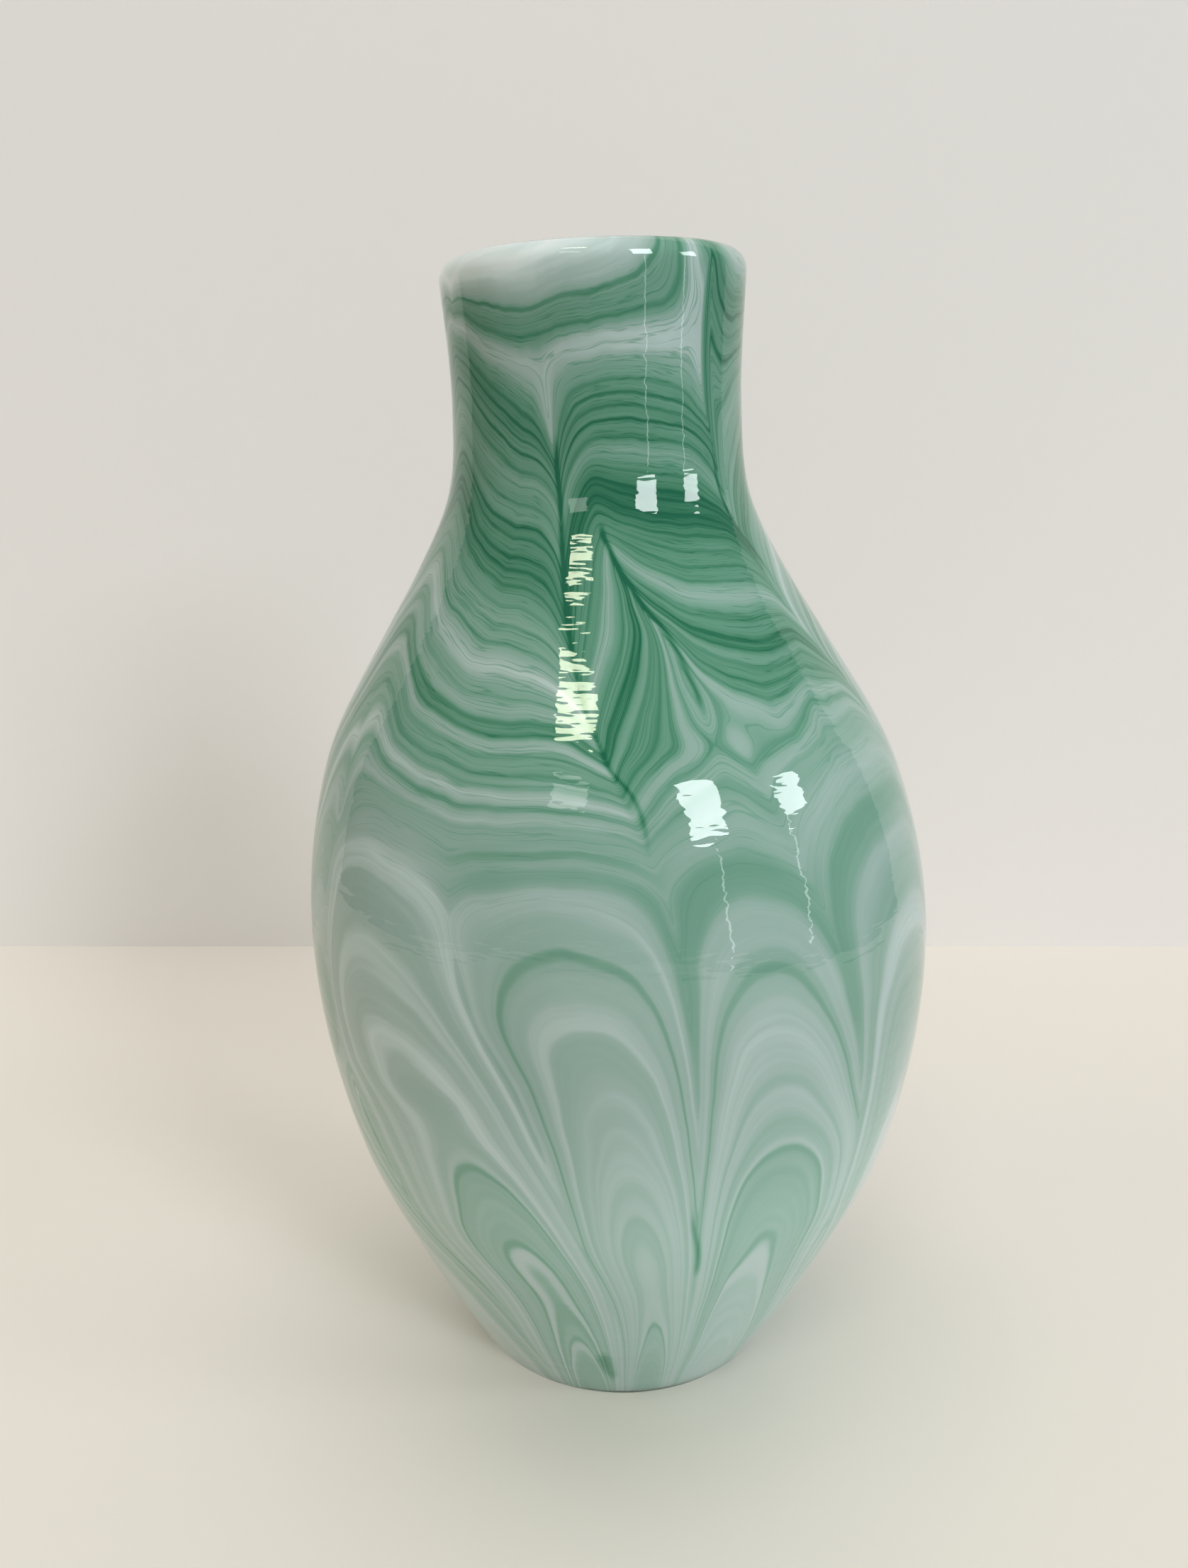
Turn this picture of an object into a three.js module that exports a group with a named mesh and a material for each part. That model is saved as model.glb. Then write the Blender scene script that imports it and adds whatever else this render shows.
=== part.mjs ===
// A hand blown, cased art glass vase: a bubble of white opal glass, a thin layer of green and white
// trails pulled into feathers on it, and a clear glass casing over both, gathered round the lip and
// ground flat under the foot. Millimetres, +Z up, standing on Z = 0 with the axis near X = Y = 0.
import * as THREE from "three";

// ---- Driving dimensions ----
// Outline from the foot to the lip: height, outer radius, and how far the ring's centre has wandered
// along X, because the vase was blown and turned by hand and leans a little.
const STATIONS = [
  { z: 0, radius: 35.5, drift: 1.0 },
  { z: 25, radius: 49.5, drift: 1.2 },
  { z: 60, radius: 64.5, drift: 1.2 },
  { z: 105, radius: 71, drift: 0 }, // belly
  { z: 145, radius: 64, drift: -1.7 },
  { z: 175, radius: 47.5, drift: -3.3 }, // shoulder
  { z: 200, radius: 33.5, drift: -4.4 },
  { z: 220, radius: 31, drift: -5.1 }, // throat
  { z: 246, radius: 32, drift: -6.0 }, // lip
];

const LIP_BASE = STATIONS.at(-1).z; // the wall ends and the fire-polished round of the lip begins
const LIP_RISE = 4; // height of that round
const HEIGHT = LIP_BASE + LIP_RISE; // foot to the middle of the lip
const LIP_WIDTH = 7; // wall at the lip
const LIP_TILT = Math.tan(THREE.MathUtils.degToRad(2.2)); // the lip's plane is higher at +X
const TILT_FROM = 200; // the tilt grows from this height up to the lip
const LIP_TOP = Math.PI / 2; // turn from the lip's outer side to its top
const TRAILS_END = THREE.MathUtils.degToRad(80); // the trails stop just before the lip's top

const WALL = 6.2; // outside to inside of the body wall
const CASING = 1.7; // clear glass over the trails
const TRAILS = 0.9; // feathered layer
const FUSED = 0.1; // the line where two fused layers of glass meet

const BASE = 13; // thickness of the bottom on the axis
const CASING_BASE = 3; // clear glass under the trails at the bottom
const BASE_ROUND = 6; // radius between the bottom and the wall of the casing's inside and the trails
const FLOOR_ROUND = 14; // radius between the inside floor and the wall of the opal

const FOOT_EDGE = 2.5; // radius between the flat foot and the wall
const PONTIL_RADIUS = 17; // ground and polished hollow where the pontil rod was cut off
const PONTIL_DEPTH = 1.2;

const SECTORS = 32; // facets round the vase
const WALL_RINGS = 20; // rings up the wall
const CORNER_RINGS = 4; // rings in a rounded corner
const LIP_RINGS = 4; // rings in each half of the lip's round
const CORNER_START = 0.75; // a corner reaches this share of its radius up the wall
const SLOPE_STEP = 0.5; // height either side of a point over which the wall's slope is taken

// ---- Outline ----

// The value of one key of the stations at height z, by a smooth curve through every station.
function along(key, z) {
  const slope = (i) => {
    const before = STATIONS[Math.max(i - 1, 0)];
    const after = STATIONS[Math.min(i + 1, STATIONS.length - 1)];
    return (after[key] - before[key]) / (after.z - before.z);
  };
  const above = STATIONS.findIndex((station) => station.z > z);
  const i = above < 0 ? STATIONS.length - 2 : Math.max(above - 1, 0);
  const [low, high] = [STATIONS[i], STATIONS[i + 1]];
  const span = high.z - low.z;
  const t = Math.min(Math.max((z - low.z) / span, 0), 1);
  return (
    (2 * t ** 3 - 3 * t ** 2 + 1) * low[key] +
    (t ** 3 - 2 * t ** 2 + t) * span * slope(i) +
    (3 * t ** 2 - 2 * t ** 3) * high[key] +
    (t ** 3 - t ** 2) * span * slope(i + 1)
  );
}

const LIP_MIDDLE = along("radius", LIP_BASE) - LIP_WIDTH / 2; // radius of the middle of the wall there

// A point at a depth under the outer surface, measured square to it, from the surface's height z.
function under(z, depth) {
  const rise = along("radius", z + SLOPE_STEP) - along("radius", z - SLOPE_STEP);
  const run = Math.min(z + SLOPE_STEP, LIP_BASE) - Math.max(z - SLOPE_STEP, 0);
  const inward = new THREE.Vector2(-run, rise).normalize().multiplyScalar(depth);
  return new THREE.Vector2(along("radius", z), z).add(inward);
}

// The wall at a depth under the outer surface, from height `from` to just below the round of the lip.
function wall(depth, from) {
  const points = [];
  for (let i = 0; i < WALL_RINGS; i++) {
    points.push(under(from + ((LIP_BASE - from) * i) / WALL_RINGS, depth));
  }
  return points;
}

// Part of the round of the lip at a depth under the outer surface. A turn of 0 is its outer side,
// LIP_TOP is the top and twice that is its inner side.
function lip(depth, from, to) {
  const points = [];
  for (let i = 0; i <= LIP_RINGS; i++) {
    const turn = from + ((to - from) * i) / LIP_RINGS;
    points.push(
      new THREE.Vector2(
        LIP_MIDDLE + (LIP_WIDTH / 2 - depth) * Math.cos(turn),
        LIP_BASE + (LIP_RISE - depth) * Math.sin(turn),
      ),
    );
  }
  return points;
}

// A rounded corner from one point to another, bulging towards a third.
function corner(from, towards, to) {
  return new THREE.QuadraticBezierCurve(from, towards, to).getPoints(CORNER_RINGS);
}

// The surface of a bubble inside the vase, from the axis at the floor's height, out along the floor,
// round a corner of radius `round` and up to just below the round of the lip.
function bubble(depth, floor, round) {
  const rising = wall(depth, floor + round * CORNER_START);
  const edge = new THREE.Vector2(rising[0].x - round, floor);
  const direction = rising[1].clone().sub(rising[0]);
  const reach = (floor - rising[0].y) / direction.y;
  const meeting = rising[0].clone().addScaledVector(direction, reach);
  return [new THREE.Vector2(0, floor), ...corner(edge, meeting, rising[0]), ...rising.slice(1)];
}

// The outside: the polished pontil hollow, the flat ring of the foot, its rounded edge and the wall.
function outside() {
  const hollow = [];
  for (let i = 0; i <= CORNER_RINGS; i++) {
    const out = i / CORNER_RINGS;
    hollow.push(new THREE.Vector2(PONTIL_RADIUS * out, PONTIL_DEPTH * (1 - out ** 2)));
  }
  const rising = wall(0, FOOT_EDGE);
  const edge = new THREE.Vector2(STATIONS[0].radius - FOOT_EDGE, 0);
  const sharp = new THREE.Vector2(STATIONS[0].radius, 0);
  return [...hollow, ...corner(edge, sharp, rising[0]), ...rising.slice(1)];
}

// ---- Solids ----

// Turns a closed outline about the axis, then gives it the lean and the tilted lip of the vase.
function turned(outline) {
  const geometry = new THREE.LatheGeometry(outline, SECTORS);
  geometry.rotateX(Math.PI / 2);
  const positions = geometry.attributes.position;
  for (let i = 0; i < positions.count; i++) {
    const [x, z] = [positions.getX(i), positions.getZ(i)];
    const tilt = LIP_TILT * THREE.MathUtils.smoothstep(z, TILT_FROM, HEIGHT);
    positions.setX(i, x + along("drift", z));
    positions.setZ(i, z + tilt * x);
  }
  geometry.computeVertexNormals();
  return geometry;
}

// Clear casing: the outside, over the lip to its inner side, and back over the trails to the axis.
function clearCasing() {
  return turned([
    ...outside(),
    ...lip(0, 0, LIP_TOP),
    ...lip(0, LIP_TOP, 2 * LIP_TOP).slice(1),
    ...lip(CASING, 2 * LIP_TOP, LIP_TOP),
    ...lip(CASING, LIP_TOP, 0).slice(1),
    ...bubble(CASING, CASING_BASE, BASE_ROUND).reverse(),
  ]);
}

// Feathered trails: a thin skin between the casing and the opal, ending near the top of the lip.
function featheredTrails() {
  const outer = CASING + FUSED;
  const inner = outer + TRAILS;
  const floor = CASING_BASE + FUSED;
  return turned([
    ...bubble(outer, floor, BASE_ROUND),
    ...lip(outer, 0, TRAILS_END),
    ...lip(inner, TRAILS_END, 0),
    ...bubble(inner, floor + TRAILS, BASE_ROUND).reverse(),
  ]);
}

// Opal lining: the bubble that holds the water. Its rim fills the round of the lip under the trails
// and the casing, and its inner wall starts level with the casing's inner edge.
function opalLining() {
  const outer = CASING + TRAILS + 2 * FUSED;
  const floor = CASING_BASE + TRAILS + 2 * FUSED;
  const innerEdge = new THREE.Vector2(LIP_MIDDLE - LIP_WIDTH / 2, LIP_BASE - FUSED);
  const underCasing = new THREE.Vector2(LIP_MIDDLE - LIP_WIDTH / 2 + CASING + FUSED, LIP_BASE - FUSED);
  return turned([
    ...bubble(outer, floor, BASE_ROUND),
    ...lip(outer, 0, LIP_TOP),
    ...lip(CASING + FUSED, LIP_TOP, 2 * LIP_TOP),
    underCasing,
    innerEdge,
    ...bubble(WALL, BASE, FLOOR_ROUND).reverse(),
  ]);
}

const PIECES = [
  { name: "opal_lining", geometry: opalLining(), color: 0xdde2e2, roughness: 0.12 },
  { name: "feathered_trails", geometry: featheredTrails(), color: 0x7db596, roughness: 0.15 },
  { name: "clear_casing", geometry: clearCasing(), color: 0xe9f3ee, roughness: 0.04 },
];

const vase = new THREE.Group();
for (const { name, geometry, color, roughness } of PIECES) {
  const material = new THREE.MeshStandardMaterial({ color, roughness, metalness: 0 });
  const mesh = new THREE.Mesh(geometry, material);
  mesh.name = name;
  vase.add(mesh);
}

export default vase;
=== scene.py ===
"""A hand blown, cased art glass vase: opal glass lining, feathered trails and a clear glass casing."""

import math

import bpy
import numpy as np
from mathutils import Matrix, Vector


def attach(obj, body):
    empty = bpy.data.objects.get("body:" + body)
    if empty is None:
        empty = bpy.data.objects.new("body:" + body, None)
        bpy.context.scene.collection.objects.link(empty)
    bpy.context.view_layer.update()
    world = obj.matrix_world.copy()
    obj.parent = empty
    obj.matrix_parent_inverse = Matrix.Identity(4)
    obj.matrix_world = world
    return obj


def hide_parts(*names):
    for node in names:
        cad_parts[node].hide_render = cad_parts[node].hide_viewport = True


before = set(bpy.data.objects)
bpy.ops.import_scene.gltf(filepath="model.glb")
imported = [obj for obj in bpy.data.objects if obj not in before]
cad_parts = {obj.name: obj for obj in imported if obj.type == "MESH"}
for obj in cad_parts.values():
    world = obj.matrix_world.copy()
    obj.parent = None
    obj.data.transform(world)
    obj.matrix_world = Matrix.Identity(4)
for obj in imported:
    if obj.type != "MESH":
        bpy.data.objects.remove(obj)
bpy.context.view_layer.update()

MM = 0.001

# ---- Shape of the vase ----
# In millimetres and as in the CAD, but with finer facets, ripples, and a casing that is thinner over
# the lip and under the foot.
HEIGHT = 250
STATIONS = (  # height, outer radius, drift of the ring's centre along X
    (0, 35.5, 1.0),
    (25, 49.5, 1.2),
    (60, 64.5, 1.2),
    (105, 71, 0),
    (145, 64, -1.7),
    (175, 47.5, -3.3),
    (200, 33.5, -4.4),
    (220, 31, -5.1),
    (246, 32, -6.0),
)
FOOT = STATIONS[0][1]  # radius of the foot
LIP_BASE = STATIONS[-1][0]  # the wall ends and the round of the lip begins
LIP_RISE = HEIGHT - LIP_BASE  # height of that round
LIP_WIDTH = 7
LIP_MIDDLE = STATIONS[-1][1] - LIP_WIDTH / 2  # radius of the middle of the lip
LIP_TILT = math.tan(math.radians(2.2))  # the lip's plane is higher at +X
TILT_FROM = 200  # the tilt grows from this height up to the lip
LIP_TOP = 0.25  # turns from the lip's outer side to its top
TRAILS_END = 80 / 360  # the trails stop just before the lip's top

WALL = 6.2  # outside to inside
CASING = 1.7
TRAILS = 0.9
FUSED = -0.05  # the layers are melted into each other by this much
LIP_THINNING = 0.9  # the casing is thinner by this much over the lip
THINNING_FROM = 225  # and thins from this height

BASE = 13  # thickness of the bottom on the axis
CASING_BASE = 2  # clear glass under the trails at the bottom
BASE_ROUND = 4  # radius between the bottom and the wall of the outer layers
FLOOR_ROUND = 14  # radius between the inside floor and the wall
FOOT_EDGE = 2.5  # radius between the flat foot and the wall
PONTIL_RADIUS = 17
PONTIL_DEPTH = 1.2

SECTORS = 256
WALL_RINGS = 140
CORNER_RINGS = 12
LIP_RINGS = 14
CORNER_START = 0.75  # a corner reaches this share of its radius up the wall
SLOPE_STEP = 0.5  # height either side of a point over which the wall's slope is taken
ON_AXIS = 1e-6  # a ring smaller than this is a single point

FACET_DEPTH = 0.1  # the CAD's facets lie this far inside the true round

# Shallow waves left by the blowing: depth, waves round the vase, spacing up the wall and phase.
RIPPLES = ((0.08, 3, 60, 0.4), (0.02, 7, -29, 2.1), (0.01, 13, 15, 4.0), (0.006, 21, -9, 1.2))
SHOULDER_RING = (181, 7, 0.4)  # height, half width and depth of a shallow ring left by the jacks
GROOVE = 0.04  # depth of the furrow that the hook leaves along a pull
GROOVE_WIDTH = 2  # degrees to each side
GROOVE_PINCH = 3  # the furrow is whole where the pull pinches the threads by this much
SMOOTH_FOOT = 8  # the ground foot and the polished lip are free of waves over this height


# ---- The pulls of the hook ----
# The trails are wound round the bubble as level threads, and a hook then drags them towards the
# foot or the lip along a few lines.

DOWN, UP = 1, -1
SHARP = 0.6  # half the width of the hook's point, in degrees
PINCH_SPREAD = 2  # degrees over which a pinch fades
TURNED_ROUND = 165  # the back carries the same drags again, turned by this angle
BACK_REACH = 0.9  # and a little shorter


class Drag:
    """One pull of the hook, with everything given by height in millimetres.

    `way` is DOWN or UP, `path` its place round the vase in degrees, `reach` how far it carries a
    thread, `spread` over how many degrees that fades, and `pinch` the further reach right on the
    hook's line. `tip` is half the width of the hook's point in degrees.
    """

    def __init__(self, way, path, reach, spread, pinch=((0, 0),), tip=SHARP):
        self.way = way
        self.path = path
        self.reach = reach
        self.spread = spread
        self.pinch = pinch
        self.tip = tip


DRAGS = (
    Drag(
        DOWN,
        path=((0, -24), (30, -31), (60, -50), (90, -59), (125, -62), (140, -60), (170, -64)),
        reach=((0, 104), (60, 76), (90, 56), (125, 38), (170, 3), (183, 0), (235, 5), (250, 22)),
        spread=((0, 19), (120, 20), (250, 8)),
    ),
    Drag(
        DOWN,
        path=((0, 0), (30, -2), (60, -9), (90, -17), (125, -28), (155, -30), (210, -30), (235, -27)),
        reach=((0, 95), (30, 72), (60, 52), (90, 41), (110, 24), (140, 2), (155, 0), (210, 3),
               (235, 1)),
        spread=((0, 4.3), (120, 9.6), (250, 16)),
    ),
    Drag(
        DOWN,
        path=((0, 17), (60, 12.5), (125, 8.5), (140, 5), (155, -1), (170, -7), (200, -14), (235, -20)),
        reach=((0, 92), (30, 72), (60, 58), (90, 37), (125, 14), (140, 5), (155, 4), (170, 11), (210, 14),
               (235, 0)),
        spread=((0, 5.4), (120, 8), (250, 6.6)),
        pinch=((0, 0.5), (60, 2), (110, 3), (125, 0), (155, 2), (170, 5), (210, 4), (225, 0)),
    ),
    Drag(
        DOWN,
        path=((60, 46), (90, 43), (155, 26), (170, 22), (210, 29)),
        reach=((0, 92), (30, 92), (60, 66), (90, 50), (140, 8), (170, 2), (210, 0)),
        spread=((0, 15), (120, 12), (250, 15)),
    ),
    Drag(
        DOWN,
        path=((0, 76), (60, 74), (90, 76), (155, 74), (170, 66), (183, 59), (210, 50), (235, 43),
              (250, 47)),
        reach=((0, 101), (60, 64), (125, 17), (155, 9), (183, 12), (193, 20), (210, 33), (235, 23),
               (250, 11)),
        spread=((0, 4.4), (120, 4), (250, 22)),
        pinch=((140, 0), (155, 2.5), (193, 3.5), (210, 2.5), (222, 0.5), (250, 2.5)),
    ),
    Drag(
        UP,
        path=((60, -53), (90, -55), (110, -58), (140, -60), (183, -65), (235, -66)),
        reach=((60, 0), (90, 28), (110, 38), (125, 39), (140, 33), (155, 28), (183, 27), (235, 16),
               (250, 3)),
        spread=((0, 5), (120, 21), (250, 10)),
        tip=8,
    ),
    Drag(
        UP,
        path=((60, 21), (155, 20), (170, 17), (183, 9), (193, 2), (210, -3)),
        reach=((0, 1), (60, 7), (90, 1), (125, 1), (155, 7), (183, 22), (200, 17), (235, 0)),
        spread=((0, 8), (120, 19), (250, 13)),
        pinch=((0, 4), (30, 7), (60, 0), (155, 0), (183, 6), (193, 4), (199, 0)),
        tip=2,
    ),
    Drag(
        UP,
        path=((60, 48), (90, 53), (110, 55), (155, 48), (170, 54), (183, 56), (200, 53), (250, 46)),
        reach=((30, 0), (60, 6), (90, 13), (110, 4), (125, 1), (183, 6), (193, 12), (250, 32)),
        spread=((0, 7), (120, 16), (250, 14)),
    ),
)
SIDE_DRAG = Drag(
    DOWN,
    path=((0, -85), (250, -85)),
    reach=((0, 61), (60, 46), (90, 37), (125, 33), (155, 16), (183, 10), (235, 3), (250, 1)),
    spread=((0, 14), (120, 15), (250, 11)),
)
SPLIT, REJOIN = DRAGS[2], DRAGS[4]  # between these two the trails of the upper part are greener


def along(column, z):
    """Radius (column 1) or drift (column 2) at height z, smooth through every station."""
    table = np.array(STATIONS, float)
    heights, values = table[:, 0], table[:, column]
    slopes = np.empty_like(values)
    slopes[1:-1] = (values[2:] - values[:-2]) / (heights[2:] - heights[:-2])
    slopes[0] = (values[1] - values[0]) / (heights[1] - heights[0])
    slopes[-1] = (values[-1] - values[-2]) / (heights[-1] - heights[-2])
    z = np.asarray(z, float)
    i = np.clip(np.searchsorted(heights, z, side="right") - 1, 0, len(heights) - 2)
    span = heights[i + 1] - heights[i]
    t = np.clip((z - heights[i]) / span, 0, 1)
    return (
        (2 * t**3 - 3 * t**2 + 1) * values[i]
        + (t**3 - 2 * t**2 + t) * span * slopes[i]
        + (3 * t**2 - 2 * t**3) * values[i + 1]
        + (t**3 - t**2) * span * slopes[i + 1]
    )


def smoothstep(value, low, high):
    """0 below low and 1 above high, with an even passage between."""
    t = np.clip((value - low) / (high - low), 0, 1)
    return t * t * (3 - 2 * t)


def under(z, depth):
    """Points at a depth under the outer surface, measured square to it, from heights z."""
    if 0 < depth < WALL:  # the layers inside the casing follow it where it thins
        depth = depth - LIP_THINNING * smoothstep(z, THINNING_FROM, LIP_BASE)
    rise = along(1, z + SLOPE_STEP) - along(1, z - SLOPE_STEP)
    run = np.minimum(z + SLOPE_STEP, LIP_BASE) - np.maximum(z - SLOPE_STEP, 0)
    length = np.hypot(rise, run)
    return np.stack([along(1, z) - depth * run / length, z + depth * rise / length], -1)


def wall(depth, start):
    """The wall from height `start` to just below the round of the lip."""
    return under(np.linspace(start, LIP_BASE, WALL_RINGS, endpoint=False), depth)


def lip(depth, start, end):
    """Part of the round of the lip. 0 is its outer side, LIP_TOP its top, twice that its inner side."""
    turn = np.linspace(start, end, LIP_RINGS + 1) * 2 * math.pi
    if depth > 0:
        depth -= LIP_THINNING
    return np.stack(
        [
            LIP_MIDDLE + (LIP_WIDTH / 2 - depth) * np.cos(turn),
            LIP_BASE + (LIP_RISE - depth) * np.sin(turn),
        ],
        -1,
    )


def corner(start, towards, end):
    """A rounded corner from one point to another, bulging towards a third."""
    t = np.linspace(0, 1, CORNER_RINGS + 1)[:, None]
    return (1 - t) ** 2 * start + 2 * t * (1 - t) * towards + t**2 * end


def bubble(depth, floor, bend):
    """A bubble inside the vase: along the floor, round a corner of radius `bend` and up to the lip."""
    rising = wall(depth, floor + bend * CORNER_START)
    edge = np.array([rising[0][0] - bend, floor])
    direction = rising[1] - rising[0]
    meeting = rising[0] + direction * (floor - rising[0][1]) / direction[1]
    return np.vstack([[[0, floor]], corner(edge, meeting, rising[0]), rising[1:]])


def outside():
    """The polished pontil hollow, the flat ring of the foot, its rounded edge and the wall."""
    out = np.linspace(0, 1, CORNER_RINGS + 1)
    hollow = np.stack([PONTIL_RADIUS * out, PONTIL_DEPTH * (1 - out**2)], -1)
    rising = wall(0, FOOT_EDGE)
    edge = np.array([FOOT - FOOT_EDGE, 0])
    sharp = np.array([FOOT, 0])
    return np.vstack([hollow, corner(edge, sharp, rising[0]), rising[1:]])


def sunk(angles, z):
    """How far the surface lies inside the true round at height z, for every angle."""
    depth = np.full_like(angles, FACET_DEPTH)
    for size, waves, spacing, phase in RIPPLES:
        turn = np.radians(angles) * waves + 2 * math.pi * z / spacing + phase
        depth += size * (1 + np.sin(turn)) / 2
    for drag in DRAGS:
        path = np.interp(z, *zip(*drag.path))
        pinch = np.interp(z, *zip(*drag.pinch))
        away = (angles - path + 180) % 360 - 180
        depth += GROOVE * min(pinch / GROOVE_PINCH, 1) * np.exp(-((away / GROOVE_WIDTH) ** 2))
    height, width, most = SHOULDER_RING
    depth += most * math.exp(-(((z - height) / width) ** 2))
    fade = smoothstep(z, 0, SMOOTH_FOOT) * (1 - smoothstep(z, LIP_BASE - SMOOTH_FOOT, LIP_BASE))
    return depth * fade


def turned(name, outline):
    """Turns a closed outline about the axis, with the lean, the tilted lip and the ripples."""
    angles = np.arange(SECTORS) * 360 / SECTORS
    vertices, rings = [], []
    for radius, z in outline:
        first = len(vertices)
        count = SECTORS if radius > ON_AXIS else 1
        turn = np.radians(angles[:count])
        out = radius - sunk(angles[:count], z) * min(radius / FOOT, 1)
        x = out * np.sin(turn)
        tilt = LIP_TILT * smoothstep(z, TILT_FROM, HEIGHT)
        vertices += list(np.stack([x + along(2, z), -out * np.cos(turn), z + tilt * x], -1) * MM)
        rings.append([first + k % count for k in range(SECTORS + 1)])
    faces = []
    pairs = list(zip(rings, rings[1:]))
    if outline[0][0] > ON_AXIS:
        pairs.append((rings[-1], rings[0]))
    for low, high in pairs:
        for k in range(SECTORS):
            ring = [low[k], low[k + 1], high[k + 1], high[k]]
            corners = list(dict.fromkeys(ring))
            if len(corners) > 2:
                faces.append(corners)
    mesh = bpy.data.meshes.new(name)
    mesh.from_pydata(vertices, [], faces)
    mesh.shade_smooth()
    piece = bpy.data.objects.new(name, mesh)
    bpy.context.scene.collection.objects.link(piece)
    return piece


def casing_outline():
    """The outside, over the lip to its inner side, and back over the trails to the axis."""
    return np.vstack(
        [
            outside(),
            lip(0, 0, LIP_TOP),
            lip(0, LIP_TOP, 2 * LIP_TOP)[1:],
            lip(CASING, 2 * LIP_TOP, LIP_TOP),
            lip(CASING, LIP_TOP, 0)[1:],
            bubble(CASING, CASING_BASE, BASE_ROUND)[::-1],
        ]
    )


def trails_outline():
    """A thin skin between the casing and the opal, ending near the top of the lip."""
    outer = CASING + FUSED
    inner = outer + TRAILS
    floor = CASING_BASE + FUSED
    return np.vstack(
        [
            bubble(outer, floor, BASE_ROUND),
            lip(outer, 0, TRAILS_END),
            lip(inner, TRAILS_END, 0),
            bubble(inner, floor + TRAILS, BASE_ROUND)[::-1],
        ]
    )


def lining_outline():
    """The bubble that holds the water. Its rim fills the lip under the trails and the casing."""
    outer = CASING + TRAILS + 2 * FUSED
    floor = CASING_BASE + TRAILS + 2 * FUSED
    inner_edge = [LIP_MIDDLE - LIP_WIDTH / 2, LIP_BASE - FUSED]
    under_casing = [inner_edge[0] + CASING - LIP_THINNING + FUSED, LIP_BASE - FUSED]
    return np.vstack(
        [
            bubble(outer, floor, BASE_ROUND),
            lip(outer, 0, LIP_TOP),
            lip(CASING + FUSED, LIP_TOP, 2 * LIP_TOP),
            [under_casing, inner_edge],
            bubble(WALL, BASE, FLOOR_ROUND)[::-1],
        ]
    )


# ---- Materials ----


def srgb(code):
    """Linear colour, with alpha, of a hex code, by the sRGB standard's formula."""
    values = [int(code[i : i + 2], 16) / 255 for i in (1, 3, 5)]
    return [v / 12.92 if v <= 0.04045 else ((v + 0.055) / 1.055) ** 2.4 for v in values] + [1.0]


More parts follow.
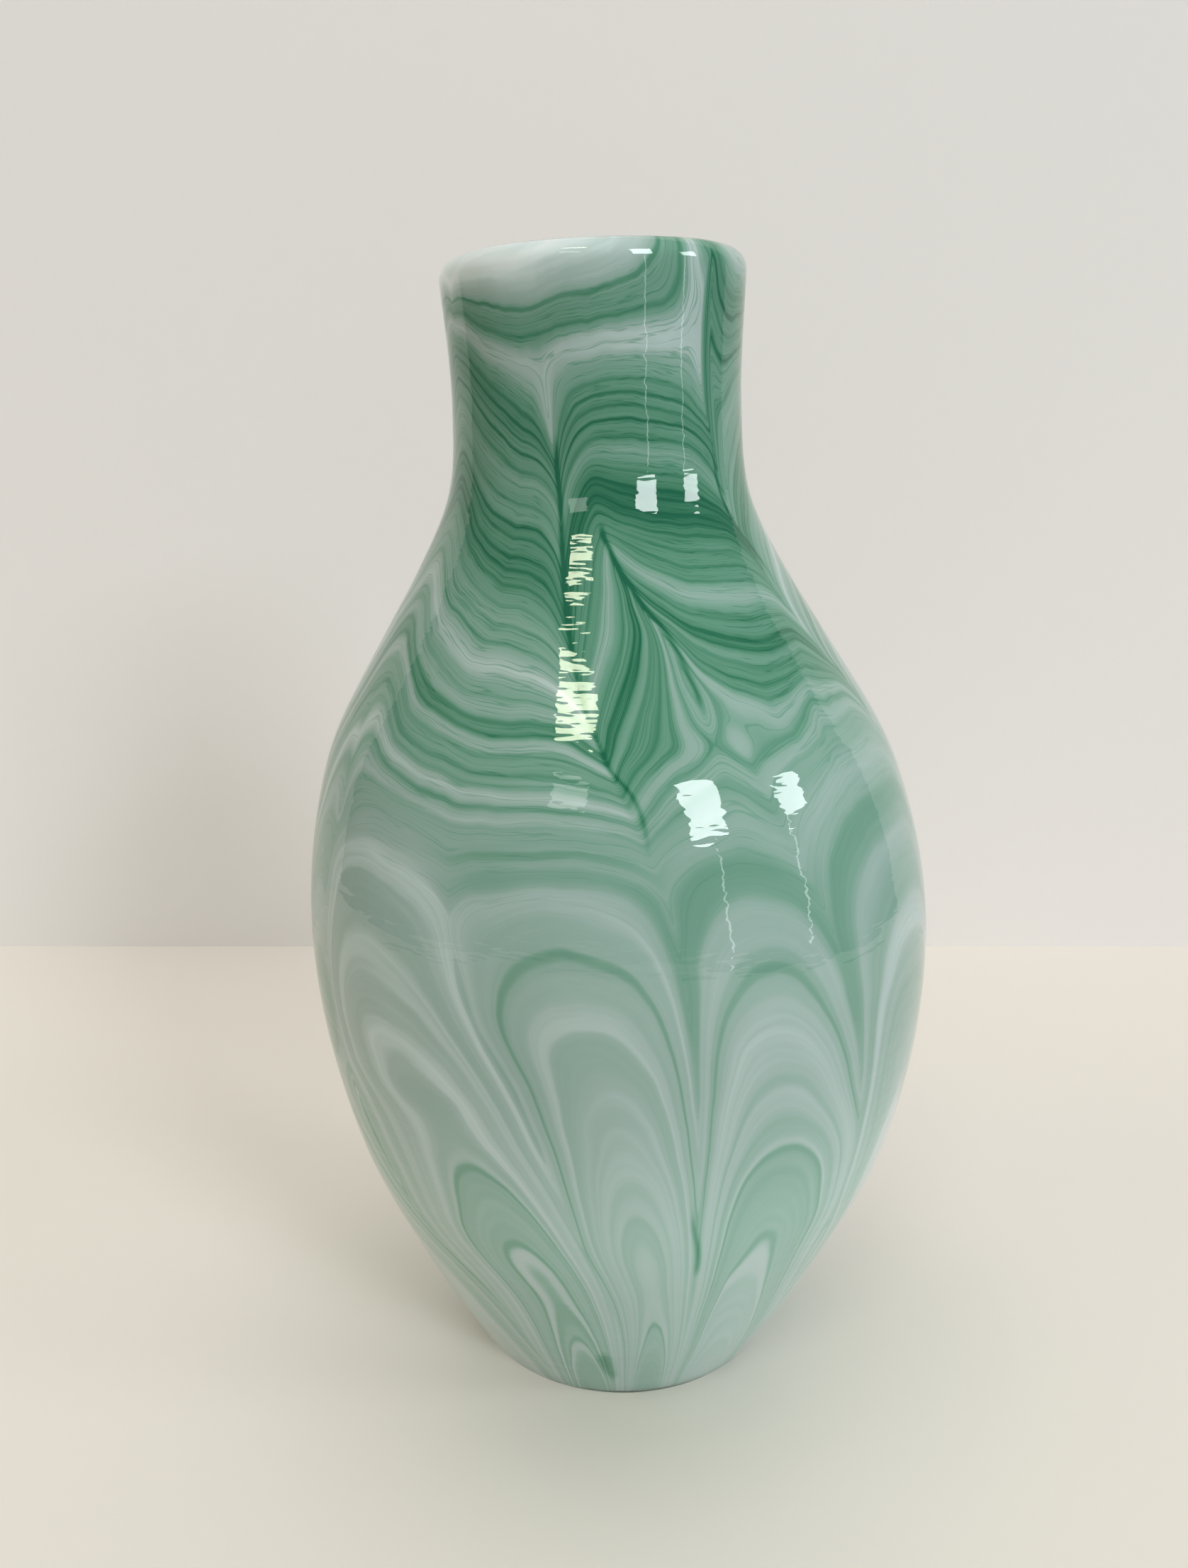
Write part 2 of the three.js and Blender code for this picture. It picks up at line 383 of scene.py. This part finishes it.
class Graph:
    """Short calls that add nodes to a material and link them."""

    MARGIN = 1 / 64  # a curve has one more level point at each end, this share of its range away
    LEAST = 1e-6  # the height of a flat curve, so that nothing is divided by zero

    def __init__(self, name):
        self.material = bpy.data.materials.new(name)
        self.material.use_nodes = True
        self.nodes = self.material.node_tree.nodes
        self.links = self.material.node_tree.links
        self.shader = self.nodes["Principled BSDF"]
        self.output = self.nodes["Material Output"]

    def feed(self, socket, value):
        """Links an output to the socket, or sets the socket to a value."""
        if isinstance(value, bpy.types.NodeSocket):
            self.links.new(value, socket)
        else:
            socket.default_value = value

    def node(self, kind, **settings):
        """A new node with its settings."""
        made = self.nodes.new(kind)
        for key, value in settings.items():
            setattr(made, key, value)
        return made

    def math(self, operation, *values):
        """The result of a Math node."""
        made = self.node("ShaderNodeMath", operation=operation)
        for socket, value in zip(made.inputs, values):
            self.feed(socket, value)
        return made.outputs[0]

    def mix(self, share, first, second):
        """A number between first (share 0) and second (share 1)."""
        made = self.node("ShaderNodeMix")
        for index, value in ((0, share), (2, first), (3, second)):
            self.feed(made.inputs[index], value)
        return made.outputs[0]

    def smoothstep(self, value, low, high):
        """0 on low's side and 1 on high's side, with an even passage between."""
        made = self.node("ShaderNodeMapRange", interpolation_type="SMOOTHSTEP")
        for name, number in (("Value", value), ("From Min", low), ("From Max", high)):
            self.feed(made.inputs[name], number)
        return made.outputs[0]

    def vector(self, *values):
        """Three numbers as a vector."""
        made = self.node("ShaderNodeCombineXYZ")
        for socket, value in zip(made.inputs, values):
            self.feed(socket, value)
        return made.outputs[0]

    def place(self):
        """The surface point, in metres."""
        return self.node("ShaderNodeNewGeometry").outputs["Position"]

    def stretched(self, *scales):
        """The surface point, multiplied by a number along each axis."""
        made = self.node("ShaderNodeVectorMath", operation="MULTIPLY")
        self.feed(made.inputs[0], self.place())
        self.feed(made.inputs[1], scales)
        return made.outputs[0]

    def noise(self, vector, detail):
        """Noise from 0 to 1 whose broadest lumps are about one unit of the vector across."""
        made = self.node("ShaderNodeTexNoise")
        self.feed(made.inputs["Vector"], vector)
        self.feed(made.inputs["Scale"], 1)
        self.feed(made.inputs["Detail"], detail)
        return made.outputs["Fac"]

    def ramp(self, value, stops):
        """A colour between stops (value, colour)."""
        made = self.node("ShaderNodeValToRGB")
        elements = made.color_ramp.elements
        elements[0].position = stops[0][0]
        elements[1].position = stops[-1][0]
        for position, _ in stops[1:-1]:
            elements.new(position)
        for element, (_, colour) in zip(elements, stops):
            element.color = colour
        self.feed(made.inputs[0], value)
        return made.outputs[0]

    def mix_shaders(self, share, first, second):
        """Sends the surface a shader between first (share 0) and second (share 1)."""
        made = self.node("ShaderNodeMixShader")
        for socket, value in zip(made.inputs, (share, first, second)):
            self.feed(socket, value)
        self.feed(self.output.inputs["Surface"], made.outputs[0])

    def curve(self, value, low, high, points, handles="AUTO_CLAMPED"):
        """A curve through points (input, output), level outside them; inputs lie in low to high."""
        margin = (high - low) * self.MARGIN
        if points[0][0] > low + margin:
            points = [(points[0][0] - margin, points[0][1]), *points]
        if points[-1][0] < high - margin:
            points = [*points, (points[-1][0] + margin, points[-1][1])]
        made = self.node("ShaderNodeFloatCurve")
        bottom = min(v for _, v in points)
        top = max(v for _, v in points)
        size = max(top - bottom, self.LEAST)
        made.mapping.extend = "HORIZONTAL"
        line = made.mapping.curves[0]
        scaled = [((a - low) / (high - low), (b - bottom) / size) for a, b in points]
        while len(line.points) < len(scaled):
            line.points.new(0.5, 0.5)
        for point, place in zip(line.points, scaled):
            point.location = place
            point.handle_type = handles
        made.mapping.update()
        part = self.math("DIVIDE", self.math("SUBTRACT", value, low), high - low)
        self.feed(made.inputs["Value"], part)
        return self.math("MULTIPLY_ADD", made.outputs[0], size, bottom)


OPAL_CLOUDS = (40, 40, 90)  # lumps in the white glass, per metre along each axis


def opal_glass():
    """Nearly plain white glass with faint grey-green clouds in it."""
    g = Graph("opal_glass")
    clouds = g.noise(g.stretched(*OPAL_CLOUDS), detail=3)
    tone = g.ramp(clouds, ((0.3, srgb("#d2dad7")), (0.7, srgb("#e2e5e4"))))
    g.feed(g.shader.inputs["Base Color"], tone)
    g.shader.inputs["Roughness"].default_value = 0.18
    return g.material


# ---- The feathered pattern ----
# `level` is the height at which a thread was laid, so a thread is a line of constant level, and each
# drag adds its reach to it, fading away on both sides. `green` is the amount of green in a trail: 0 is
# bare white opal and DARKEST the darkest green.

UPPER = (138, 252)  # levels of the upper part
LOWER = (60, 147)  # levels of the lower part
MEETING = (140, 148)  # levels over which the lower part changes into the upper

# Trails of the upper part, as (level, green outside the sector from SPLIT to REJOIN, green inside it).
UPPER_BANDS = (
    (138, 0.21, 0.21), (143, 0.25, 0.25), (145, 0.09, 0.12), (147, 0.20, 0.22), (149, 0.07, 0.14),
    (151, 0.20, 0.28), (154, 0.23, 0.31), (156.5, 0.11, 0.26), (158.5, 0.29, 0.36), (160, 0.29, 0.40),
    (161.5, 0.15, 0.31), (165, 0.22, 0.32), (169, 0.07, 0.14), (171, 0.14, 0.18), (173, 0.23, 0.29),
    (176, 0.19, 0.32), (180, 0.22, 0.31), (182.5, 0.28, 0.34), (187, 0.38, 0.42), (189, 0.37, 0.50),
    (192, 0.32, 0.44), (196, 0.36, 0.50), (197.5, 0.24, 0.38), (200, 0.26, 0.34), (203, 0.27, 0.30),
    (206.5, 0.19, 0.17), (211, 0.29, 0.36), (213, 0.28, 0.29), (219, 0.30, 0.34), (222, 0.33, 0.28),
    (224, 0.36, 0.30), (227, 0.29, 0.23), (229, 0.22, 0.18), (231, 0.10, 0.09), (234, 0.10, 0.09),
    (236, 0.27, 0.26), (237.5, 0.30, 0.28), (240, 0.25, 0.25), (242, 0.22, 0.21), (244, 0.12, 0.11),
    (246.5, 0.09, 0.10), (250, 0.03, 0.03),
)
# Thin dark threads among them, as (level, added green).
HAIRLINES = (
    (141.5, 0.08), (144.3, 0.10), (147.3, 0.12), (150.5, 0.10), (152.3, 0.14), (155, 0.10), (158, 0.16),
    (160, 0.14), (164, 0.08), (173, 0.10), (176.5, 0.13), (180, 0.10), (184, 0.14), (187, 0.14),
    (189.5, 0.16), (193.5, 0.14), (196, 0.20), (201, 0.11), (206, 0.10), (210.5, 0.11), (215.5, 0.26),
    (219, 0.12), (222, 0.26), (225, 0.12), (237, 0.14), (242, 0.22),
)
# Trails of the lower part, as (level, green), for the four columns between downward pulls, in turn.
COLUMN_BANDS = (
    (
        (66, 0.10), (80, 0.06), (85, 0.05), (90, 0.13), (100, 0.17), (104, 0.13), (107, 0.15),
        (110.5, 0.09), (115, 0.13), (117, 0.19), (122, 0.17), (125, 0.13), (127, 0.17), (129.5, 0.23),
        (132, 0.26), (134, 0.21), (136, 0.15), (138.5, 0.13), (141, 0.18), (147, 0.20),
    ),
    # The white bands of this column are painted a little greener, as painted shade for the left side of
    # the belly.
    (
        (75, 0.19), (78, 0.16), (79, 0.08), (80, 0.10), (80.7, 0.26), (81.5, 0.18), (85, 0.22),
        (86.5, 0.07), (88, 0.08), (89, 0.26), (90, 0.17), (97, 0.17), (100.5, 0.18), (101.3, 0.27),
        (102.5, 0.10), (105, 0.14), (107, 0.08), (108.5, 0.05), (110, 0.09), (114, 0.11), (120.5, 0.08),
        (122.5, 0.11), (126, 0.13), (129, 0.12), (133, 0.07), (139, 0.13), (143, 0.14),
    ),
    (
        (65, 0.20), (75, 0.18), (86, 0.16), (86.8, 0.25), (88, 0.09), (94, 0.17), (95, 0.12),
        (107, 0.11), (113, 0.16), (115, 0.15), (116, 0.09), (120, 0.14), (124, 0.16), (125, 0.27),
        (126, 0.16), (130, 0.14), (132.5, 0.11), (135, 0.18), (137, 0.21), (139, 0.17), (140.2, 0.25),
        (141, 0.16), (145, 0.15),
    ),
    (
        (65, 0.11), (70, 0.13), (72, 0.07), (73.5, 0.15), (74.3, 0.25), (75.3, 0.17), (85, 0.19),
        (90, 0.185), (92, 0.26), (93.5, 0.11), (97, 0.17), (104, 0.11), (106, 0.165), (107, 0.14),
        (113.5, 0.10), (120, 0.15), (121.5, 0.17), (122.5, 0.26), (123.5, 0.19), (125, 0.18),
        (127, 0.12), (131, 0.15), (132.5, 0.21), (136, 0.26), (139.5, 0.165), (142.5, 0.16),
        (145, 0.28), (147, 0.22),
    ),
)

# Dark green drawn out along the hook's line: its place in degrees, the added green, and its half width
# in degrees, each by height.
SEAMS = (
    (((140, 5), (155, -1), (170, -7), (200, -14), (215, -16)),
     ((138, 0), (146, 0.16), (170, 0.20), (190, 0.28), (208, 0.32), (216, 0)), ((138, 0.5), (208, 0.9))),
    (((160, 19.5), (170, 18), (183, 9.5), (193, 2), (198, 0)),
     ((158, 0), (166, 0.18), (186, 0.30), (194, 0.34), (198, 0)), ((160, 0.8), (196, 0.9))),
    (((176, 62), (197, 52.5), (215, 49)),
     ((172, 0), (190, 0.20), (200, 0.26), (216, 0)), ((172, 0.8), (216, 0.8))),
    (((49, 13.5), (70, 11)), ((47, 0), (52, 0.20), (62, 0.18), (72, 0)), ((47, 0.6), (72, 0.5))),
    (((5, -3.5), (20, -6)), ((4, 0), (9, 0.16), (16, 0.26), (22, 0)), ((4, 0.5), (16, 2.0), (22, 1.0))),
)

HAIRLINE = 0.7  # half the width of a thin thread, in millimetres
CLARITY = 0.95  # the lower trails lie deeper in the glass, so they are mixed with their mean green
LOWER_GREEN = 0.13
BORDER = ((90, 1.2), (125, 5), (145, 8))  # half the width of the border between columns, by height

RIGHT_RISE = 9.1  # before any pull the threads lie this much higher at +X and lower at -X
SIDE_SAG = 9.2  # at the foot they sag by this much at the sides and twice that at the back
SAG_FALL = 0.0644  # and the sag falls by this much for each millimetre up

WOBBLE = 3  # how far the threads wander from an even pull, in millimetres
WOBBLE_ROUND = 4  # lumps of that noise in a radius
WOBBLE_RISE = 18  # and the height of one

STREAK_ROUND = 1.5  # lumps of the streaks' noise in a radius
BROAD_STREAKS, FINE_STREAKS = 0.45, 1.1  # lumps for each millimetre of level
STREAK_GREEN = 0.10  # how much the streaks change the green
VEIN_GREEN = 0.10  # green added in a vein
VEIN_WIDTH = 0.035  # a vein is where the noise is this close to its middle
VEINS_FROM, VEINS_TO = (120, 165), (246, 238)  # levels over which the veins come and go

SHADE_FACTOR = 0.72  # painted shade: how much darker the green trails over the belly and the neck are painted
SHADE_HEIGHTS = (45, 105)  # heights over which the painted shade comes in
SHADED_GREENS = (0.02, 0.13)  # bare white glass gets no painted shade, and glass of the second green gets it in full

DARKEST = 0.56
GREENS = (  # linear colour by amount of green
    (0.0, (0.80, 0.83, 0.84)),
    (0.06, (0.66, 0.76, 0.75)),
    (0.14, (0.48, 0.66, 0.60)),
    (0.22, (0.30, 0.54, 0.43)),
    (0.30, (0.19, 0.45, 0.32)),
    (0.38, (0.105, 0.36, 0.225)),
    (0.46, (0.046, 0.27, 0.15)),
    (DARKEST, (0.008, 0.19, 0.10)),
)


def by_height(g, height, points):
    """A value that is given by height."""
    return g.curve(height, 0, HEIGHT, points)


def thread_level(g, height, around, sine, cosine):
    """The level of the thread at each point, the borders of the columns, and the sector's two sides."""
    behind = g.math("SUBTRACT", 1, cosine)
    sag = g.math("MULTIPLY_ADD", height, -SAG_FALL, SIDE_SAG)
    level = g.math("MULTIPLY_ADD", behind, sag, height)
    level = g.math("MULTIPLY_ADD", sine, -RIGHT_RISE, level)
    borders, sides = [], []
    for turn, share in ((0, 1), (TURNED_ROUND, BACK_REACH)):
        for drag in DRAGS if turn else (SIDE_DRAG, *DRAGS):
            path = by_height(g, height, drag.path)
            away = g.math("SUBTRACT", g.math("SUBTRACT", around, turn), path)
            away = g.math("WRAP", away, 180, -180)
            if drag.way == DOWN:
                borders.append(((drag.path[0][1] + turn + 180) % 360, path, turn))
            if drag in (SPLIT, REJOIN):
                sides.append(away)
            spread = by_height(g, height, drag.spread)
            pulls = [(drag.reach, drag.tip, spread)]
            if max(pull for _, pull in drag.pinch):
                pulls.append((drag.pinch, SHARP, PINCH_SPREAD))
            for pull, tip, width in pulls:
                distance = g.math("SQRT", g.math("MULTIPLY_ADD", away, away, tip**2))
                fade = g.math("DIVIDE", g.math("SUBTRACT", tip, distance), width)
                reach = by_height(g, height, [(z, drag.way * share * mm) for z, mm in pull])
                level = g.math("MULTIPLY_ADD", reach, g.math("EXPONENT", fade), level)
    return level, sorted(borders, key=lambda border: border[0]), sides


def upper_green(g, level, sides):
    """Bands and thin dark threads, with greener bands in the sectors between SPLIT and REJOIN."""
    outside_sector = g.curve(level, *UPPER, [(s, green) for s, green, _ in UPPER_BANDS], "VECTOR")
    inside_sector = g.curve(level, *UPPER, [(s, green) for s, _, green in UPPER_BANDS], "VECTOR")
    sector = 0
    for passed, reached in zip(sides[::2], sides[1::2]):
        between = g.math("MULTIPLY", g.smoothstep(passed, -1, 1), g.smoothstep(reached, 1, -1))
        sector = g.math("MAXIMUM", sector, between)
    bands = g.mix(sector, outside_sector, inside_sector)
    lines = [(UPPER[0], 0)]
    for thread, darker in HAIRLINES:
        lines += [(thread - HAIRLINE, 0), (thread, darker), (thread + HAIRLINE, 0)]
    lines.append((UPPER[1], 0))
    return g.math("ADD", bands, g.curve(level, *UPPER, lines, "VECTOR"))


def lower_green(g, level, height, around, borders):
    """A column of bands between each downward pull and the next."""
    columns = [g.curve(level, *LOWER, bands) for bands in COLUMN_BANDS]
    green = columns[-1]
    softness = by_height(g, height, BORDER)
    for k, (_, path, turn) in enumerate(borders):
        away = g.math("SUBTRACT", around, g.math("WRAP", g.math("ADD", path, turn), 180, -180))
        passed = g.smoothstep(g.math("DIVIDE", away, softness), -1, 1)
        green = g.mix(passed, green, columns[(k + 1) % len(columns)])
    return g.math("MULTIPLY_ADD", green, CLARITY, (1 - CLARITY) * LOWER_GREEN)


def streaked(g, green, level, sine, cosine):
    """Adds streaks that run along the threads, and dark veins among the threads of the upper part."""
    circle = [g.math("MULTIPLY", part, STREAK_ROUND) for part in (sine, cosine)]
    broad = g.noise(g.vector(*circle, g.math("MULTIPLY", level, BROAD_STREAKS)), detail=3)
    green = g.math("MULTIPLY_ADD", g.math("SUBTRACT", broad, 0.5), STREAK_GREEN, green)
    fine = g.noise(g.vector(*circle, g.math("MULTIPLY", level, FINE_STREAKS)), detail=2)
    vein = g.smoothstep(g.math("ABSOLUTE", g.math("SUBTRACT", fine, 0.5)), VEIN_WIDTH, 0)
    strength = g.math("MULTIPLY", g.smoothstep(level, *VEINS_FROM), g.smoothstep(level, *VEINS_TO))
    strength = g.math("MULTIPLY", strength, VEIN_GREEN)
    return g.math("MULTIPLY_ADD", vein, strength, green)


def seamed(g, green, height, around):
    """Adds the dark green drawn out along the hook's line."""
    for path, darker, width in SEAMS:
        away = g.math("SUBTRACT", around, by_height(g, height, path))
        away = g.math("DIVIDE", away, by_height(g, height, width))
        fade = g.math("EXPONENT", g.math("MULTIPLY", g.math("MULTIPLY", away, away), -1))
        green = g.math("MULTIPLY_ADD", by_height(g, height, darker), fade, green)
    return green


def feathered_glass():
    """Green and white trails in the pattern that the pulls of the hook have drawn."""
    g = Graph("feathered_glass")

    # The place on the upright vase: height, and the turn round its axis from the camera's side.
    millimetres = g.node("ShaderNodeSeparateXYZ")
    g.feed(millimetres.inputs[0], g.stretched(1 / MM, 1 / MM, 1 / MM))
    x, y, height = millimetres.outputs[:3]
    x = g.math("SUBTRACT", x, by_height(g, height, [(z, drift) for z, _, drift in STATIONS]))
    rise = g.smoothstep(height, TILT_FROM, HEIGHT)
    tilt = g.math("MULTIPLY", g.math("MULTIPLY", rise, LIP_TILT), x)
    height = g.math("SUBTRACT", height, tilt)
    radius = g.math("SQRT", g.math("MULTIPLY_ADD", x, x, g.math("MULTIPLY", y, y)))
    sine = g.math("DIVIDE", x, radius)
    cosine = g.math("DIVIDE", g.math("MULTIPLY", y, -1), radius)
    around = g.math("DEGREES", g.math("ARCTAN2", sine, cosine))

    # The thread that lies there, after the pulls and its own wandering.
    level, borders, sides = thread_level(g, height, around, sine, cosine)
    circle = [g.math("MULTIPLY", part, WOBBLE_ROUND) for part in (sine, cosine)]
    where = g.vector(*circle, g.math("DIVIDE", height, WOBBLE_RISE))
    wobble = g.math("SUBTRACT", g.noise(where, detail=2), 0.5)
    level = g.math("MULTIPLY_ADD", wobble, WOBBLE, level)

    # How green that thread is.
    upper = upper_green(g, level, sides)
    lower = lower_green(g, level, height, around, borders)
    green = g.mix(g.smoothstep(level, *MEETING), lower, upper)
    green = streaked(g, green, level, sine, cosine)
    green = seamed(g, green, height, around)

    # Its colour, with painted shade over the belly and the neck that darkens the green trails.
    stops = [(amount / DARKEST, (*colour, 1)) for amount, colour in GREENS]
    colour = g.ramp(g.math("DIVIDE", green, DARKEST), stops)
    shade_share = g.math("MULTIPLY", g.smoothstep(height, *SHADE_HEIGHTS), g.smoothstep(green, *SHADED_GREENS))
    shading = g.node("ShaderNodeVectorMath", operation="SCALE")
    g.feed(shading.inputs[0], colour)
    g.feed(shading.inputs["Scale"], g.mix(shade_share, 1, SHADE_FACTOR))
    g.feed(g.shader.inputs["Base Color"], shading.outputs[0])
    g.shader.inputs["Roughness"].default_value = 0.5
    g.shader.inputs["Specular IOR Level"].default_value = 0
    return g.material


GLASS_IOR = 1.6
GLOSS_WAVES = (90, 90, 380)  # lumps in the gloss, per metre along each axis
GLOSS_DEPTH = 0.14 * MM


def clear_glass():
    """Clear glass with a slightly wavy gloss, which lets the light through to the layers below."""
    g = Graph("clear_glass")
    g.shader.inputs["Base Color"].default_value = (1, 1, 1, 1)
    g.shader.inputs["Roughness"].default_value = 0.02
    g.shader.inputs["IOR"].default_value = GLASS_IOR
    g.shader.inputs["Transmission Weight"].default_value = 1
    bump = g.node("ShaderNodeBump")
    bump.inputs["Distance"].default_value = GLOSS_DEPTH
    g.feed(bump.inputs["Height"], g.noise(g.stretched(*GLOSS_WAVES), detail=2))
    g.feed(g.shader.inputs["Normal"], bump.outputs[0])
    shadow = g.node("ShaderNodeLightPath").outputs["Is Shadow Ray"]
    g.mix_shaders(shadow, g.shader.outputs[0], g.node("ShaderNodeBsdfTransparent").outputs[0])
    return g.material


# ---- Pieces ----

PIECES = (
    ("opal_lining", "opal_glass", lining_outline, opal_glass),
    ("feathered_trails", "feathered_glass", trails_outline, feathered_glass),
    ("clear_casing", "clear_glass", casing_outline, clear_glass),
)

for node, slot, outline, material in PIECES:
    piece = turned(node + "_smooth", outline())
    piece.data.materials.append(material())
    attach(piece, "root")
    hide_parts(node)

# ---- Room, lights and camera (metres) ----

TABLE_FRONT, TABLE_BACK = -1.6, 0.9
TABLE_SHADE = -0.5  # the table's colour is painted darker from here to its front: painted shade
WALL_BEHIND = 0.241
WALL_HEIGHT = 1.1
SIDE = 0.6  # half the width of the table and the wall
AIM = Vector((0, 0, 0.17))  # the lights face this point


def sheet(name, front, back, top, material):
    """A flat sheet from the front at table height to the back at height `top`."""
    corners = [(-SIDE, front, 0), (SIDE, front, 0), (SIDE, back, top), (-SIDE, back, top)]
    mesh = bpy.data.meshes.new(name)
    mesh.from_pydata(corners, [], [(0, 1, 2, 3)])
    mesh.materials.append(material)
    made = bpy.data.objects.new(name, mesh)
    bpy.context.scene.collection.objects.link(made)


def table_white():
    """A pale table top, painted darker towards the room as painted shade, so its edge doesn't mirror in
    the vase.
    """
    g = Graph("table_white")
    place = g.node("ShaderNodeSeparateXYZ")
    g.feed(place.inputs[0], g.place())
    lit = g.smoothstep(place.outputs[1], TABLE_FRONT, TABLE_SHADE)
    colour = g.ramp(lit, ((0, srgb("#a9a39b")), (1, srgb("#f8f2ea"))))
    g.feed(g.shader.inputs["Base Color"], colour)
    g.shader.inputs["Roughness"].default_value = 0.5
    return g.material


def wall_white():
    """A pale wall that can be looked through from its back."""
    g = Graph("wall_white")
    g.shader.inputs["Base Color"].default_value = srgb("#f6f3f2")
    g.shader.inputs["Roughness"].default_value = 0.8
    back = g.node("ShaderNodeNewGeometry").outputs["Backfacing"]
    g.mix_shaders(back, g.shader.outputs[0], g.node("ShaderNodeBsdfTransparent").outputs[0])
    return g.material


sheet("table", TABLE_FRONT, TABLE_BACK, 0, table_white())
sheet("wall", WALL_BEHIND, WALL_BEHIND, WALL_HEIGHT, wall_white())


def panel(name, azimuth, elevation, distance, size, radiance, colour, reflected=True):
    """A flat light that faces the vase. Azimuth turns from the camera's side towards +X, in degrees."""
    turn, lift = math.radians(azimuth), math.radians(elevation)
    offset = Vector((math.sin(turn) * math.cos(lift), -math.cos(turn) * math.cos(lift), math.sin(lift)))
    light = bpy.data.lights.new(name, "AREA")
    light.shape = "RECTANGLE"
    light.size, light.size_y = size
    light.energy = radiance * math.pi * size[0] * size[1]  # watts of a flat light of that radiance
    light.color = colour
    made = bpy.data.objects.new(name, light)
    made.location = AIM + offset * distance
    made.rotation_euler = (-offset).to_track_quat("-Z", "Y").to_euler()
    made.visible_glossy = reflected
    bpy.context.scene.collection.objects.link(made)


# Each light: azimuth, elevation, distance, width and height, radiance and colour.
DAYLIGHT = (0.92, 0.97, 1.0)
panel("front_window", 36, 27, 4.0, (1.02, 1.32), 11, DAYLIGHT)
panel("side_window", 75, 21, 4.0, (0.85, 0.85), 9.5, DAYLIGHT)
panel("front_window_edge", 38, 4, 4.0, (0.05, 1.5), 4, DAYLIGHT)
panel("side_window_edge", 69, 4, 4.0, (0.05, 1.5), 4, DAYLIGHT)
panel("lamp", -18.5, 50.3, 3.0, (0.7, 0.2), 12, (0.97, 1.0, 0.74))
panel("far_window", -18.5, 33, 4.0, (0.9, 0.55), 2.5, (0.95, 1.0, 0.95))
panel("ceiling", 180, 80, 1.7, (1.5, 1.5), 1.7, (1.0, 0.97, 0.94), reflected=False)
panel("warm_wall", -72, 20, 2.5, (2.0, 2.0), 0.85, (1.0, 0.93, 0.74), reflected=False)

world = bpy.data.worlds.new("room")
world.use_nodes = True
background = world.node_tree.nodes["Background"]
background.inputs["Color"].default_value = (1, 0.98, 0.95, 1)
background.inputs["Strength"].default_value = 0.27
bpy.context.scene.world = world

SENSOR_HEIGHT, LENS = 36, 29.295  # millimetres
CAMERA_PLACE = (-0.0057, -0.285, 0.211)
CAMERA_TILT = 14.6  # degrees below level

camera_data = bpy.data.cameras.new("camera")
camera_data.sensor_fit = "VERTICAL"
camera_data.sensor_height = SENSOR_HEIGHT
camera_data.lens = LENS
camera = bpy.data.objects.new("camera", camera_data)
camera.location = CAMERA_PLACE
camera.rotation_euler = (math.radians(90 - CAMERA_TILT), 0, 0)
bpy.context.scene.collection.objects.link(camera)
bpy.context.scene.camera = camera
bpy.context.scene.view_settings.view_transform = "Standard"
